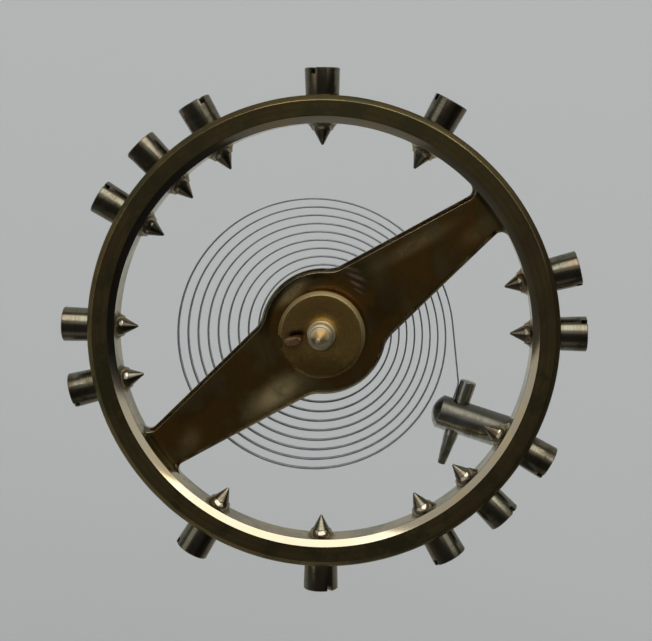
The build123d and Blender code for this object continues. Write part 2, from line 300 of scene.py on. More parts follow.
@dataclass
class Surface:
    """What a finish reads off its piece, in the piece's own millimetres, and its look so far."""

    shader: Shader
    x: Value
    y: Value
    out: Value
    level: Value
    patches: Value
    specks: Value
    colour: bpy.types.NodeSocket
    roughness: Value
    depth: Value | float = 1.0

    def towards(self, turn: float) -> Value:
        """Cosine of the angle between a place's turn and a given turn."""
        step = direction(turn)
        return (self.x * step.x + self.y * step.y) / self.out

    def slanted(self, flat: Span) -> Value:
        """Share that a place has of a bevel, which lies between a wall and a flat face."""
        return self.level.rise(*WALL_SPAN) * self.level.rise(*flat)

    def ragged(self, value: Value, patches: float, specks: float) -> Value:
        """A value made uneven by the patches and the specks."""
        return value + (self.patches - 0.5) * patches + (self.specks - 0.5) * specks

    def near(self, spot: Spot) -> Value:
        """Share of a spot's mark that a place has, ragged at its edge.

        Args:
            spot: The spot.

        Returns:
            A value from 0 to the spot's own share.
        """
        along, across = direction(spot.lie), direction(spot.lie + 90)
        x, y = self.x - spot.x, self.y - spot.y
        u = (x * along.x + y * along.y) / spot.length
        v = (x * across.x + y * across.y) / spot.width
        distance = self.ragged((u * u + v * v) ** 0.5, patches=0.9, specks=0.5)
        return distance.rise(*SPOT_SPAN) * spot.share

    def paint(self, share: Value, tone: Colour) -> None:
        """Mix a tone over the colour so far."""
        self.colour = self.shader.mix(share, self.colour, tone)

    def roughen(self, share: Value) -> None:
        """Add a share of the roughness so far to it."""
        self.roughness = self.roughness * (1.0 + share)


@dataclass(frozen=True)
class Finish:
    """Worked and aged surface of a metal piece, with painted highlights and painted shade where its
    spots are.

    The piece's own Z is the axis that it was turned or drawn along.
    """

    slot: str
    clean: Colour
    worn: Colour
    tarnished: Colour
    roughness: float
    grain: Grain
    grain_pitch: float
    patch_size: float
    grain_depth: float = 0.0006
    grain_stretch: float = 30.0
    worn_span: Span = (0.35, 0.7)
    tarnish: float = 0.5
    warm: Colour = (0.30, 0.18, 0.10)
    warm_share: float = 0.5
    warm_span: Span = (0.42, 0.66)
    speck_share: float = 0.25
    speck_depth: float = 0.3
    least_roughness: float = 0.75
    grain_roughness: float = 0.3
    speck_roughness: float = 0.25
    tarnish_roughness: float = 0.35
    # Colour of the painted highlights, laid at the first list of spots below.
    highlight_tone: Colour = (0.64, 0.51, 0.25)
    # Dark colour of the painted shade, laid at the second list of spots below; the wheel also lays
    # it as painted shade on its hub and as darker collars.
    dark_tone: Colour = (0.05, 0.05, 0.03)
    highlight_spots: tuple[Spot, ...] = ()
    shade_spots: tuple[Spot, ...] = ()

    @property
    def tarnish_span(self) -> Span:
        """Where tarnish sets in and where it is full. More of it sets in sooner."""
        return 0.75 - self.tarnish * 0.5, 0.95 - self.tarnish * 0.6

    def material(self) -> bpy.types.Material:
        """The finish's material, made when it is first asked for."""
        return bpy.data.materials.get(f"worked_{self.slot}") or self.build()

    def wear_and_painted_light(self, surface: Surface) -> None:
        """Leave marks, painted highlights and painted shade that only some pieces have. A plain
        piece has none.
        """

    def build(self) -> bpy.types.Material:
        """Make the material's nodes.

        Returns:
            The new material.
        """
        material, shader = new_material(f"worked_{self.slot}")
        coordinates = shader.node("ShaderNodeTexCoord")
        x, y, z = shader.split(shader.scaled(coordinates.outputs["Object"], 1 / MM))
        out = (x * x + y * y) ** 0.5
        seed = shader.attribute("seed") * SEED_SHIFT

        patch, fine, pitch = self.patch_size, SPECKS_PER_MM, self.grain_pitch
        place = shader.vector(x / patch + seed, y / patch, z / patch)
        patches = shader.noise(place, detail=4.0, rough=0.6)
        place = shader.vector(x * fine + seed, y * fine, z * fine)
        specks = shader.noise(place, detail=5.0, rough=0.65)
        place = shader.vector(y / patch, x / patch + seed, z / patch + seed)
        hues = shader.noise(place, detail=3.0, rough=0.55)
        if self.grain is Grain.RINGS:
            place = shader.vector(out / pitch, z / pitch, seed)
        elif self.grain is Grain.LINES:
            place = shader.vector(x / pitch, y / pitch, z / (pitch * self.grain_stretch) + seed)
        else:
            place = shader.vector(x / pitch + seed, y / pitch, z / pitch)
        grain = shader.noise(place, detail=2.0, rough=0.6)

        uneven = patches * (1 - self.speck_share) + specks * self.speck_share
        tarnish = uneven.rise(*self.tarnish_span)
        colour = shader.mix(grain.rise(*self.worn_span), self.clean, self.worn)
        roughness = self.roughness * (
            self.least_roughness
            + grain * self.grain_roughness
            + specks * self.speck_roughness
            + tarnish * self.tarnish_roughness
        )
        level = shader.split(coordinates.outputs["Normal"])[2].size()
        surface = Surface(shader, x, y, out, level, patches, specks, colour, roughness)
        surface.paint(hues.rise(*self.warm_span) * self.warm_share, self.warm)
        surface.paint(tarnish, self.tarnished)
        self.wear_and_painted_light(surface)
        # Painted shade at the second list of spots, then painted highlights at the first.
        for spot in self.shade_spots:
            surface.paint(surface.near(spot), self.dark_tone)
        for spot in self.highlight_spots:
            mark = surface.near(spot)
            surface.paint(mark, self.highlight_tone)
            surface.roughen(mark)

        relief = grain * (1 - self.speck_depth) + specks * self.speck_depth
        height = relief * surface.depth
        sockets = {"Height": height, "Strength": 1.0, "Distance": self.grain_depth * MM}
        bump = shader.node("ShaderNodeBump", None, sockets)
        shader.principled(
            {
                "Base Color": surface.colour,
                "Metallic": 1.0,
                "Roughness": surface.roughness,
                "Normal": bump.outputs[0],
            }
        )
        return material


@dataclass(frozen=True)
class WheelFinish(Finish):
    """Aged brass of the wheel: polished inner bevel, turned arm, darker collars, painted shade on
    one side of the hub and painted highlight streaks beside it.

    Its spans are distances from the staff, except for the arm's patches, the flat and the sweep.
    """

    arm_tone: Colour = (0.31, 0.165, 0.04)
    arm_span: Span = (5.25, 5.15)
    arm_least: float = 0.3
    arm_patches: Span = (0.38, 0.58)
    # Ring of painted shade on the hub's upper-left side: its inner and outer edge, its turn, its
    # sweep and its least share.
    hub_shade_inside: Span = (1.32, 1.43)
    hub_shade_outside: Span = (1.82, 1.72)
    hub_shade_turn: float = 132.0
    hub_shade_sweep: Span = (0.45, 0.9)
    hub_shade_least: float = 0.55
    # Darker collars; the patches vary this darkening and the hub's painted shade.
    collar_span: Span = (5.29, 5.24)
    collar_least: float = 0.4
    darkening_patches: float = 0.6
    polished: Colour = (0.33, 0.29, 0.21)
    polished_span: Span = (5.7, 5.5)
    polished_least: float = -0.05
    polished_patches: float = 1.9
    polished_roughness: float = -0.3
    flat: Span = (0.97, 0.92)
    turned_span: Span = (2.7, 1.72)
    turned_depth: float = 6.0
    # Painted highlight streaks beside the hub, which are also rougher.
    streak_highlight_tone: Colour = (0.50, 0.33, 0.27)
    streak_roughness: float = 1.2
    highlight_streaks: tuple[Spot, ...] = ()

    def wear_and_painted_light(self, surface: Surface) -> None:
        """Tone the arm, darken the collars, paint shade on one side of the hub, polish the inner
        bevel, paint highlight streaks beside the hub and turn the hub.

        Args:
            surface: The wheel's surface.
        """
        out, patches = surface.out, surface.patches
        arm = out.rise(*self.arm_span)
        toned = self.arm_least + patches.rise(*self.arm_patches) * (1 - self.arm_least)
        surface.paint(arm * toned, self.arm_tone)
        # Painted shade in a ring on the hub's upper-left side, and darker collars, both in the dark
        # colour.
        ring = out.rise(*self.hub_shade_inside) * out.rise(*self.hub_shade_outside)
        sweep = surface.towards(self.hub_shade_turn).rise(*self.hub_shade_sweep)
        uneven = patches * self.darkening_patches
        hub = ring * sweep * (self.hub_shade_least + uneven)
        collars = out.rise(*self.collar_span) * (1 - arm) * (self.collar_least + uneven)
        surface.paint(hub.larger(collars), self.dark_tone)
        polish = surface.slanted(self.flat) * out.rise(*self.polished_span)
        bright = self.polished_least + patches * self.polished_patches
        surface.paint(polish * bright, self.polished)
        surface.roughen(polish * self.polished_roughness)
        # Painted highlight streaks.
        for highlight_streak in self.highlight_streaks:
            mark = surface.near(highlight_streak)
            surface.paint(mark, self.streak_highlight_tone)
            surface.roughen(mark * self.streak_roughness)
        surface.depth = 1.0 + arm + out.rise(*self.turned_span) * self.turned_depth


@dataclass(frozen=True)
class RollerFinish(Finish):
    """Golden brass of the roller, with a pale painted highlight on one side of its bevel, which is
    rougher there.
    """

    # Pale colour of the painted highlight on the bevel, and where it lies.
    bevel_highlight_tone: Colour = (0.38, 0.31, 0.15)
    flat: Span = (0.95, 0.85)
    highlight_turn: float = 70.0
    highlight_sweep: Span = (-0.6, 0.5)
    highlight_share: float = 0.9
    bevel_roughness: float = 0.8

    def wear_and_painted_light(self, surface: Surface) -> None:
        """Paint a pale highlight on the bevel on one side, and roughen it there.

        Args:
            surface: The roller's surface.
        """
        # Painted highlight on the bevel, on one side only.
        sweep = surface.towards(self.highlight_turn).rise(*self.highlight_sweep)
        bevel = surface.slanted(self.flat) * sweep
        surface.paint(bevel * self.highlight_share, self.bevel_highlight_tone)
        surface.roughen(bevel * self.bevel_roughness)


@dataclass(frozen=True)
class StudFinish(Finish):
    """Steel of the stud, with painted shade and more roughness on the flank above, and clean on the
    one below.
    """

    # Dark colour of the painted shade on the flank above.
    flank_shade: Colour = (0.085, 0.08, 0.06)
    flank: Span = (0.12, -0.12)
    flank_shade_share: float = 0.9
    dull_roughness: float = 0.7

    def wear_and_painted_light(self, surface: Surface) -> None:
        """Paint shade on the flank that the stud's own X points away from, and roughen it.

        Args:
            surface: The stud's surface.
        """
        # Painted shade on the flank above.
        flank_shade = surface.ragged(surface.x, patches=0.25, specks=0.12).rise(*self.flank)
        surface.paint(flank_shade * self.flank_shade_share, self.flank_shade)
        surface.roughen(flank_shade * self.dull_roughness)


@dataclass(frozen=True)
class JewelFinish:
    """Polished synthetic ruby."""

    slot: str
    red: Colour
    deep: Colour
    roughness: float = 0.10
    index: float = 1.76
    clear: float = 0.15
    clouds_per_mm: float = 6.0
    deep_span: Span = (0.35, 0.65)

    def material(self) -> bpy.types.Material:
        """The finish's material, made when it is first asked for."""
        return bpy.data.materials.get(f"worked_{self.slot}") or self.build()

    def build(self) -> bpy.types.Material:
        """Make the material's nodes.

        Returns:
            The new material.
        """
        material, shader = new_material(f"worked_{self.slot}")
        coordinates = shader.node("ShaderNodeTexCoord")
        place = shader.scaled(coordinates.outputs["Object"], self.clouds_per_mm / MM)
        clouds = shader.noise(place, detail=2.0, rough=0.55)
        shader.principled(
            {
                "Base Color": shader.mix(clouds.rise(*self.deep_span), self.red, self.deep),
                "Roughness": self.roughness,
                "IOR": self.index,
                "Transmission Weight": self.clear,
            }
        )
        return material


WHEEL_BRASS = WheelFinish(
    "wheel_brass", (0.47, 0.37, 0.16), (0.29, 0.22, 0.095), (0.20, 0.17, 0.078), 0.155,
    Grain.RINGS, grain_pitch=0.05, patch_size=1.1, tarnish=0.62,
    # Painted highlights on the arm and the hub.
    highlight_spots=(
        Spot(-1.18, -1.60, 36.5, 1.40, 0.52, 0.95),
        Spot(-3.45, -2.85, 60.0, 0.60, 0.45, 0.35),
        Spot(2.35, 2.25, 30.0, 1.70, 0.30, 0.35),
        Spot(-0.80, 0.98, 45.0, 0.80, 0.26, 0.65),
        Spot(3.90, 2.55, 36.5, 0.80, 0.35, 0.20),
    ),
    # Painted shade on the arm's sides and beside the hub.
    shade_spots=(
        Spot(1.55, 0.65, 60.0, 0.90, 0.55, 0.40),
        Spot(0.90, 1.55, 120.0, 0.75, 0.45, 0.40),
        Spot(-3.20, -1.95, 36.5, 1.40, 0.30, 0.20),
    ),
    # Painted highlight streaks beside the hub.
    highlight_streaks=(
        Spot(0.72, 1.62, -18.0, 0.34, 0.075, 0.50),
        Spot(0.84, 1.42, -24.0, 0.36, 0.080, 0.75),
        Spot(0.86, 1.23, -28.0, 0.32, 0.070, 0.60),
        Spot(0.90, 1.06, -32.0, 0.24, 0.055, 0.35),
    ),
)
SCREW_BRASS = Finish(
    "screw_brass", (0.175, 0.164, 0.117), (0.125, 0.115, 0.077), (0.072, 0.062, 0.038), 0.22,
    Grain.RINGS, grain_pitch=0.035, patch_size=0.7, warm=(0.17, 0.10, 0.06), warm_share=0.45,
)
ROLLER_BRASS = RollerFinish(
    "roller_brass", (0.52, 0.33, 0.10), (0.43, 0.27, 0.08), (0.28, 0.18, 0.06), 0.26,
    Grain.RINGS, grain_pitch=0.04, patch_size=0.9, tarnish=0.4,
    # Dark colour for the painted shadow beside the jewel and the painted shade over the roller's
    # lower half.
    warm=(0.42, 0.22, 0.09), dark_tone=(0.035, 0.012, 0.003),
    shade_spots=(
        Spot(-0.62, 0.03, 10.0, 0.34, 0.15, 1.00),
        Spot(0.10, -0.85, 0.0, 1.20, 0.60, 0.45),
    ),
)
STAFF_STEEL = Finish(
    "staff_steel", (0.80, 0.70, 0.49), (0.64, 0.55, 0.37), (0.36, 0.29, 0.18), 0.34,
    Grain.RINGS, grain_pitch=0.03, patch_size=0.5, tarnish=0.25, warm=(0.55, 0.48, 0.24),
)
SPRING_STEEL = Finish(
    "spring_steel", (0.36, 0.37, 0.38), (0.28, 0.29, 0.30), (0.18, 0.18, 0.18), 0.42,
    Grain.EVEN, grain_pitch=0.25, patch_size=1.2, grain_depth=0.0004, tarnish=0.4,
    warm=(0.24, 0.24, 0.27),
)
COLLET_BRASS = Finish(
    "collet_brass", (0.36, 0.275, 0.12), (0.26, 0.195, 0.085), (0.13, 0.095, 0.04), 0.24,
    Grain.RINGS, grain_pitch=0.04, patch_size=0.6,
)
PIN_BRASS = Finish(
    "pin_brass", (0.38, 0.29, 0.13), (0.27, 0.20, 0.09), (0.13, 0.095, 0.04), 0.26,
    Grain.LINES, grain_pitch=0.02, patch_size=0.4,
)
STUD_STEEL = StudFinish(
    "stud_steel", (0.62, 0.61, 0.53), (0.44, 0.43, 0.36), (0.22, 0.21, 0.16), 0.20,
    Grain.RINGS, grain_pitch=0.05, patch_size=0.7, grain_depth=0.0010, tarnish=0.45,
    warm=(0.22, 0.20, 0.14),
)
STUD_PIN_STEEL = Finish(
    "stud_pin_steel", (0.36, 0.36, 0.31), (0.26, 0.26, 0.22), (0.13, 0.13, 0.10), 0.28,
    Grain.LINES, grain_pitch=0.04, patch_size=0.6, grain_depth=0.0010, warm=(0.19, 0.17, 0.12),
)
JEWEL_RUBY = JewelFinish("jewel_ruby", red=(0.15, 0.085, 0.04), deep=(0.09, 0.035, 0.015))


def direction(turn: float) -> Vector:
    """Unit step that points along a turn, in the plane of the rim."""
    return Vector((math.cos(math.radians(turn)), math.sin(math.radians(turn)), 0.0))


def turned(place: Vector, turn: float, distance: float) -> Vector:
    """Point at a distance from another one, along a turn."""
    return place + direction(turn) * distance


def axes(x: Vector, z: Vector, origin: Vector | None = None) -> Matrix:
    """Placing of a shape.

    Args:
        x: Where its own X goes.
        z: Where its own Z goes, square to x.
        origin: Where its own origin goes.

    Returns:
        The matrix that places it.
    """
    rotation = Matrix((x, z.cross(x), z)).transposed().to_4x4()
    return Matrix.Translation(origin or Vector()) @ rotation


def swing(centre: Vector, radius: float, first: float, last: float, steps: int) -> list[Vector]:
    """Points on an arc from one turn to another, both included."""
    turns = (first + (last - first) * step / steps for step in range(steps + 1))
    return [turned(centre, turn, radius) for turn in turns]


def turn_of(step: Vector) -> float:
    """Turn that a step points along."""
    return math.degrees(math.atan2(step.y, step.x))


def bent(first: Point, middle: Point, last: Point, steps: int = 14) -> list[Point]:
    """Points on the arc through three points.

    Args:
        first: Where the arc starts.
        middle: A point that it passes.
        last: Where it ends.
        steps: Number of parts.

    Returns:
        The points between both ends, which are left out.
    """
    (ax, ay), (bx, by), (cx, cy) = first, middle, last
    a, b, c = ax * ax + ay * ay, bx * bx + by * by, cx * cx + cy * cy
    double = 2 * (ax * (by - cy) + bx * (cy - ay) + cx * (ay - by))
    x = (a * (by - cy) + b * (cy - ay) + c * (ay - by)) / double
    y = (a * (cx - bx) + b * (ax - cx) + c * (bx - ax)) / double
    centre = Vector((x, y, 0.0))
    start = Vector((ax, ay, 0)) - centre
    sweep = math.remainder(turn_of(Vector((cx, cy, 0)) - centre) - turn_of(start), 360)
    points = swing(centre, start.length, turn_of(start), turn_of(start) + sweep, steps)
    return [(point.x, point.y) for point in points[1:-1]]


def eased(corners: Sequence[Corner], closed: bool = False, steps: int = 4) -> list[Point]:
    """Outline whose corners are rounded.

    Args:
        corners: X, Y and rounding radius of each corner.
        closed: Whether the last corner is joined to the first.
        steps: Number of parts of each rounding.

    Returns:
        The outline's points.
    """
    points: list[Point] = []
    count = len(corners)
    for index, (x, y, radius) in enumerate(corners):
        here = Vector((x, y, 0))
        at_end = not closed and index in (0, count - 1)
        if not radius or at_end:
            points.append((x, y))
            continue
        before = Vector((*corners[index - 1][:2], 0)) - here
        after = Vector((*corners[(index + 1) % count][:2], 0)) - here
        half = before.angle(after) / 2
        longest = LONGEST_ROUNDING * min(before.length, after.length)
        reach = min(radius / math.tan(half), longest)
        back, on = before.normalized(), after.normalized()
        centre = here + (back + on).normalized() * (reach / math.cos(half))
        start = turn_of(here + back * reach - centre)
        end = turn_of(here + on * reach - centre)
        sweep = math.remainder(end - start, 360)
        arc = swing(centre, reach * math.tan(half), start, start + sweep, steps)
        points.extend((point.x, point.y) for point in arc)
    return points


def skin(
    name: str,
    loops: Sequence[Sequence[Vector]],
    ends: Ends = Ends.CAPPED,
    place: Matrix | None = None,
) -> bpy.types.Object:
    """Closed mesh over a row of loops that have equally many points.

    Args:
        name: Name of the new object.
        loops: The loops, in millimetres.
        ends: Whether the first and last loop are capped, or joined to each other.
        place: Placing of the points.

    Returns:
        The new object.
    """
    place = place or Matrix()
    shape = bmesh.new()
    rows = [[shape.verts.new((place @ point) * MM) for point in loop] for loop in loops]
    followers = rows[1:] + rows[:1] if ends is Ends.JOINED else rows[1:]
    for row, follower in zip(rows, followers):
        for index in range(len(row)):
            beside = (index + 1) % len(row)
            shape.faces.new((row[index], row[beside], follower[beside], follower[index]))
    if ends is Ends.CAPPED:
        shape.faces.new(rows[0])
        shape.faces.new(rows[-1])
    bmesh.ops.remove_doubles(shape, verts=shape.verts, dist=SAME_POINT * MM)
    bmesh.ops.recalc_face_normals(shape, faces=shape.faces)
    mesh = bpy.data.meshes.new(name)
    shape.to_mesh(mesh)
    shape.free()

    piece = bpy.data.objects.new(name, mesh)
    bpy.context.scene.collection.objects.link(piece)
    return piece


def lathe(
    name: str,
    profile: Sequence[Point],
    ends: Ends = Ends.CAPPED,
    place: Matrix | None = None,
    sides: int = ROUND_SIDES,
) -> bpy.types.Object:
    """Round mesh about Z.

    Args:
        name: Name of the new object.
        profile: Distance from the axis and place along it, of each point.
        ends: Whether the profile is capped at its ends or closed on itself.
        place: Placing of the points.
        sides: Number of sides.

    Returns:
        The new object.
    """
    steps = [direction(360 * side / sides) for side in range(sides)]
    loops = [[step * out + UP * along for step in steps] for out, along in profile]
    return skin(name, loops, ends, place)


def slab(
    name: str, outline: Sequence[Point], low: float, high: float, place: Matrix | None = None
) -> bpy.types.Object:
    """Straight prism over an outline, from one height to another."""
    loops = [[Vector((x, y, height)) for x, y in outline] for height in (low, high)]
    return skin(name, loops, place=place)


def oblong(length: float, width: float, inset: float = 0.0, steps: int = 18) -> list[Point]:
    """Outline of a bar with half-round ends, along X.

    Args:
        length: The bar's length over both ends.
        width: Its width.
        inset: How far the outline is drawn in.
        steps: Number of parts of each end.

    Returns:
        The outline's points.
    """
    radius = width / 2 - inset
    reach = length / 2 - width / 2
    right = swing(Vector((reach, 0, 0)), radius, -90, 90, steps)
    left = swing(Vector((-reach, 0, 0)), radius, 90, 270, steps)
    return [(point.x, point.y) for point in right + left]


def together(pieces: Sequence[bpy.types.Object]) -> bpy.types.Object:
    """Join pieces that don't touch.

    Args:
        pieces: The pieces, of which only the first is left.

    Returns:
        The first piece, with the shapes of all.
    """
    shape = bmesh.new()
    for piece in pieces:
        shape.from_mesh(piece.data)
    shape.to_mesh(pieces[0].data)
    shape.free()
    for piece in pieces[1:]:
        bpy.data.objects.remove(piece)
    return pieces[0]


def carve(piece: bpy.types.Object, how: Carve, tool: bpy.types.Object) -> bpy.types.Object:
    """Add a tool's shape to a piece or cut it away, and drop the tool.

    Args:
        piece: The piece that is changed.
        how: Whether the tool's shape is added or cut away.
        tool: The tool.

    Returns:
        The piece.
    """
    modifier = piece.modifiers.new("carve", "BOOLEAN")
    modifier.operation = how.value
    modifier.solver = "EXACT"
    modifier.object = tool
    graph = bpy.context.evaluated_depsgraph_get()
    old = piece.data
    piece.data = bpy.data.meshes.new_from_object(piece.evaluated_get(graph))
    piece.modifiers.clear()
    bpy.data.meshes.remove(old)
    bpy.data.objects.remove(tool)

    shape = bmesh.new()
    shape.from_mesh(piece.data)
    bmesh.ops.remove_doubles(shape, verts=shape.verts, dist=SAME_POINT * MM)
    shape.to_mesh(piece.data)
    shape.free()
    return piece


def deliver(
    piece: bpy.types.Object,
    node: str,
    body: str | None,
    finish: Finish | JewelFinish,
    seed: float = 0.0,
) -> None:
    """Smooth and dress a piece, put it in its node's place and report it.

    Args:
        piece: The finished shape.
        node: Node that it stands for.
        body: Body that it rides on, or None for a piece that is attached to no body.
        finish: Its finish.
        seed: Number that shifts its marks and stains.
    """
    mesh = piece.data
    mesh.polygons.foreach_set("use_smooth", [True] * len(mesh.polygons))
    mesh.set_sharp_from_angle(angle=math.radians(SMOOTH_BELOW))
    mesh.materials.clear()
    mesh.materials.append(finish.material())
    marks = mesh.attributes.new("seed", "FLOAT", "POINT")
    marks.data.foreach_set("value", [seed] * len(mesh.vertices))
    modifier = piece.modifiers.new("facing", "WEIGHTED_NORMAL")
    modifier.keep_sharp = True
    modifier.weight = FACE_WEIGHT
    if body:
        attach(piece, body)
    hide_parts(node)

    bpy.context.view_layer.update()
    corners = [piece.matrix_world @ vertex.co for vertex in mesh.vertices]
    low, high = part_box(node)
    misfit = max(
        abs(pick(corner[axis] for corner in corners) - end[axis])
        for pick, end in ((min, low), (max, high))
        for axis in range(3)
    )
    faces = len(mesh.polygons)
    log.info("%s stands for %s: %d faces, box within %.3f mm", piece.name, node, faces, misfit / MM)


@dataclass
class Wheel:
    """Rim, arm and raised collars, in one piece of brass."""

    rim_diameter: float = 12.0
    rim_width: float = 0.70
    rim_height: float = 1.10
    rim_bevel: float = 0.14
    outer_bevel_width: float = 0.13
    outer_bevel_depth: float = 0.10
    inner_bevel_width: float = 0.175
    inner_bevel_depth: float = 0.10
    support: float = 0.03
    arm_turn: float = 36.5
    arm_recess: float = 0.60
    arm_thickness: float = 0.30
    arm_end_width: float = 1.02
    arm_waist_width: float = 1.63
    arm_root_width: float = 2.26
    hub_diameter: float = 3.24
    hub_fillet: float = 0.70
    end_fillet: float = 0.20
    arm_bevel: float = 0.10
    seat_diameter: float = 1.02
    collar_height: float = 0.18
    collar_root_diameter: float = 0.84
    collar_lip: float = 0.03
    collar_hollow_share: float = 0.30
    hole_diameter: float = 0.46
    edge: float = 0.012
    end_steps: int = 6
    end_fillet_steps: int = 10
    side_steps: int = 40
    hub_fillet_steps: int = 14
    hub_steps: int = 24
    collar_sides: int = 96
    hole_sides: int = 64

    @property
    def outer(self) -> float:
        """Outer radius of the rim."""
        return self.rim_diameter / 2

    @property
    def inner(self) -> float:
        """Inner radius of the rim."""
        return self.outer - self.rim_width

    @property
    def middle(self) -> float:
        """Radius halfway through the rim."""
        return self.outer - self.rim_width / 2

    @property
    def arm_top(self) -> float:
        """Height of the arm's upper face."""
        return self.rim_height / 2 - self.arm_recess

    def rim(self) -> bpy.types.Object:
        """Ring with all four edges bevelled.

        Returns:
            The ring.
        """
        top, bevel, ease, support = self.rim_height / 2, self.rim_bevel, self.edge, self.support
        wide, deep = self.inner_bevel_width, self.inner_bevel_depth
        far_wide, far_deep = self.outer_bevel_width, self.outer_bevel_depth
        corners = [
            (self.inner + bevel, -top, ease),
            (self.inner + bevel + support, -top, 0),
            (self.outer - far_wide - support, -top, 0),
            (self.outer - far_wide, -top, ease),
            (self.outer, far_deep - top, ease),
            (self.outer, far_deep - top + support, 0),
            (self.outer, top - far_deep - support, 0),
            (self.outer, top - far_deep, ease),
            (self.outer - far_wide, top, ease),
            (self.outer - far_wide - support, top, 0),
            (self.inner + wide + support, top, 0),
            (self.inner + wide, top, ease),
            (self.inner, top - deep, ease),
            (self.inner, top - deep - support, 0),
            (self.inner, bevel - top + support, 0),
            (self.inner, bevel - top, ease),
        ]
        return lathe("wheel_body", eased(corners, closed=True), Ends.JOINED, sides=RIM_SIDES)

    def arm_outline(self, inset: float) -> list[Vector]:
        """Outline of the arm and its hub, along X.

        Args:
            inset: How far the outline is drawn in.

        Returns:
            The outline's points, at height zero.
        """
        hub = self.hub_diameter / 2
        root = (math.sqrt(hub**2 - (self.arm_root_width / 2) ** 2), self.arm_root_width / 2)
        end = (self.middle, self.arm_end_width / 2)
        waist = ((root[0] + end[0]) / 2, self.arm_waist_width / 2)
        side_centre, side_radius = self.circle_through(root, waist, end)
        hub_ease = self.meeting(hub + self.hub_fillet, side_centre, side_radius - self.hub_fillet)
        fillet = self.end_fillet
        end_ease = self.meeting(self.inner - fillet, side_centre, side_radius - fillet)
        hub_shade_turn, end_turn = turn_of(hub_ease), turn_of(end_ease)
        side_start, side_end = turn_of(hub_ease - side_centre), turn_of(end_ease - side_centre)
        corner = [
            *swing(Vector(), self.middle, 0, end_turn, self.end_steps),
            *swing(end_ease, fillet + inset, end_turn, side_end, self.end_fillet_steps),
            *swing(side_centre, side_radius + inset, side_end, side_start, self.side_steps)[1:],
            *swing(
                hub_ease,
                self.hub_fillet + inset,
                side_start + 360,
                hub_shade_turn + 180,
                self.hub_fillet_steps,
            )[1:],
            *swing(Vector(), hub - inset, hub_shade_turn, 90, self.hub_steps)[1:],
        ]
        other = [Vector((-point.x, point.y, 0)) for point in reversed(corner[:-1])]
        upper = corner + other
        return upper + [Vector((-point.x, -point.y, 0)) for point in upper[1:-1]]

    @staticmethod
    def circle_through(first: Point, middle: Point, last: Point) -> tuple[Vector, float]:
        """Circle through three points.

        Args:
            first: Where the circle's arc starts.
            middle: A point halfway along the arc.
            last: Where the arc ends.

        Returns:
            The circle's centre and radius.
        """
        chord = Vector((last[0] - first[0], last[1] - first[1], 0))
        halfway = Vector(((first[0] + last[0]) / 2, (first[1] + last[1]) / 2, 0))
        upward = Vector((-chord.y, chord.x, 0)).normalized()
        sag = -(Vector((*middle, 0)) - halfway).dot(upward)
        shift = (Vector((*middle, 0)) - halfway + upward * sag).dot(chord.normalized())
        radius = ((chord.length / 2) ** 2 - shift**2) / (2 * sag) + sag / 2
        return halfway + upward * (radius - sag), radius

    @staticmethod
    def meeting(reach: float, centre: Vector, radius: float) -> Vector:
        """Point that lies at one distance from the staff and at another from a centre.

        Args:
            reach: Distance from the staff.
            centre: The centre.
            radius: Distance from the centre.

        Returns:
            The one of the two such points that lies to the right.
        """
        distance = centre.length
        along = (reach**2 - radius**2 + distance**2) / (2 * distance)
        aside = math.sqrt(reach**2 - along**2)
        step = centre / distance
        return step * along + Vector((step.y, -step.x, 0)) * aside

    def arm(self) -> bpy.types.Object:
        """Arm and hub, with a bevel round their upper edges.

        Returns:
            The arm.
        """
        low, high = self.arm_top - self.arm_thickness, self.arm_top
        section = eased(
            [
                (self.edge * 3, low, 0),
                (0, low, self.edge),
                (0, high - self.arm_bevel, self.edge),
                (self.arm_bevel, high, self.edge),
                (self.arm_bevel * 2, high, 0),
            ]
        )
        loops = [
            [point + UP * height for point in self.arm_outline(inset)]
            for inset, height in section
        ]
        return skin("arm", loops, place=Matrix.Rotation(math.radians(self.arm_turn), 4, "Z"))

    def collar(self, turn: float) -> bpy.types.Object:
        """Collar that a screw hole raises on the inner wall of the rim.

        Args:
            turn: Where the screw stands.

        Returns:
            The collar.
        """
        tip = (self.hole_diameter / 2 + self.collar_lip, self.inner - self.collar_height)
        root = (self.collar_root_diameter / 2, self.inner)
        halfway = (tip[0] + (root[0] - tip[0]) * self.collar_hollow_share, (tip[1] + root[1]) / 2)
        profile = [tip, *bent(tip, halfway, root), root, (root[0], self.middle)]
        place = axes(UP, direction(turn))
        return lathe("collar", profile, place=place, sides=self.collar_sides)

    def hole(self, turn: float) -> bpy.types.Object:
        """Tool for one screw hole.

        Args:
            turn: Where the screw stands.

        Returns:
            The tool.
        """
        radius, low = self.hole_diameter / 2, self.inner - self.collar_height - OVERRUN
        place = axes(UP, direction(turn))
        profile = [(radius, low), (radius, self.outer + OVERRUN)]
        return lathe("hole", profile, place=place, sides=self.hole_sides)

    def build(self, screw_turns: Sequence[float]) -> None:
        """Make the wheel.

        Args:
            screw_turns: Where its screws stand.
        """
        body = self.rim()
        carve(body, Carve.ADD, together([self.arm(), *map(self.collar, screw_turns)]))
        radius, low = self.seat_diameter / 2, self.arm_top - self.arm_thickness - OVERRUN
        seat = lathe("seat", [(radius, low), (radius, self.arm_top + OVERRUN)])
        carve(body, Carve.CUT, together([seat, *map(self.hole, screw_turns)]))
        deliver(body, "balance_wheel", "balance", WHEEL_BRASS)


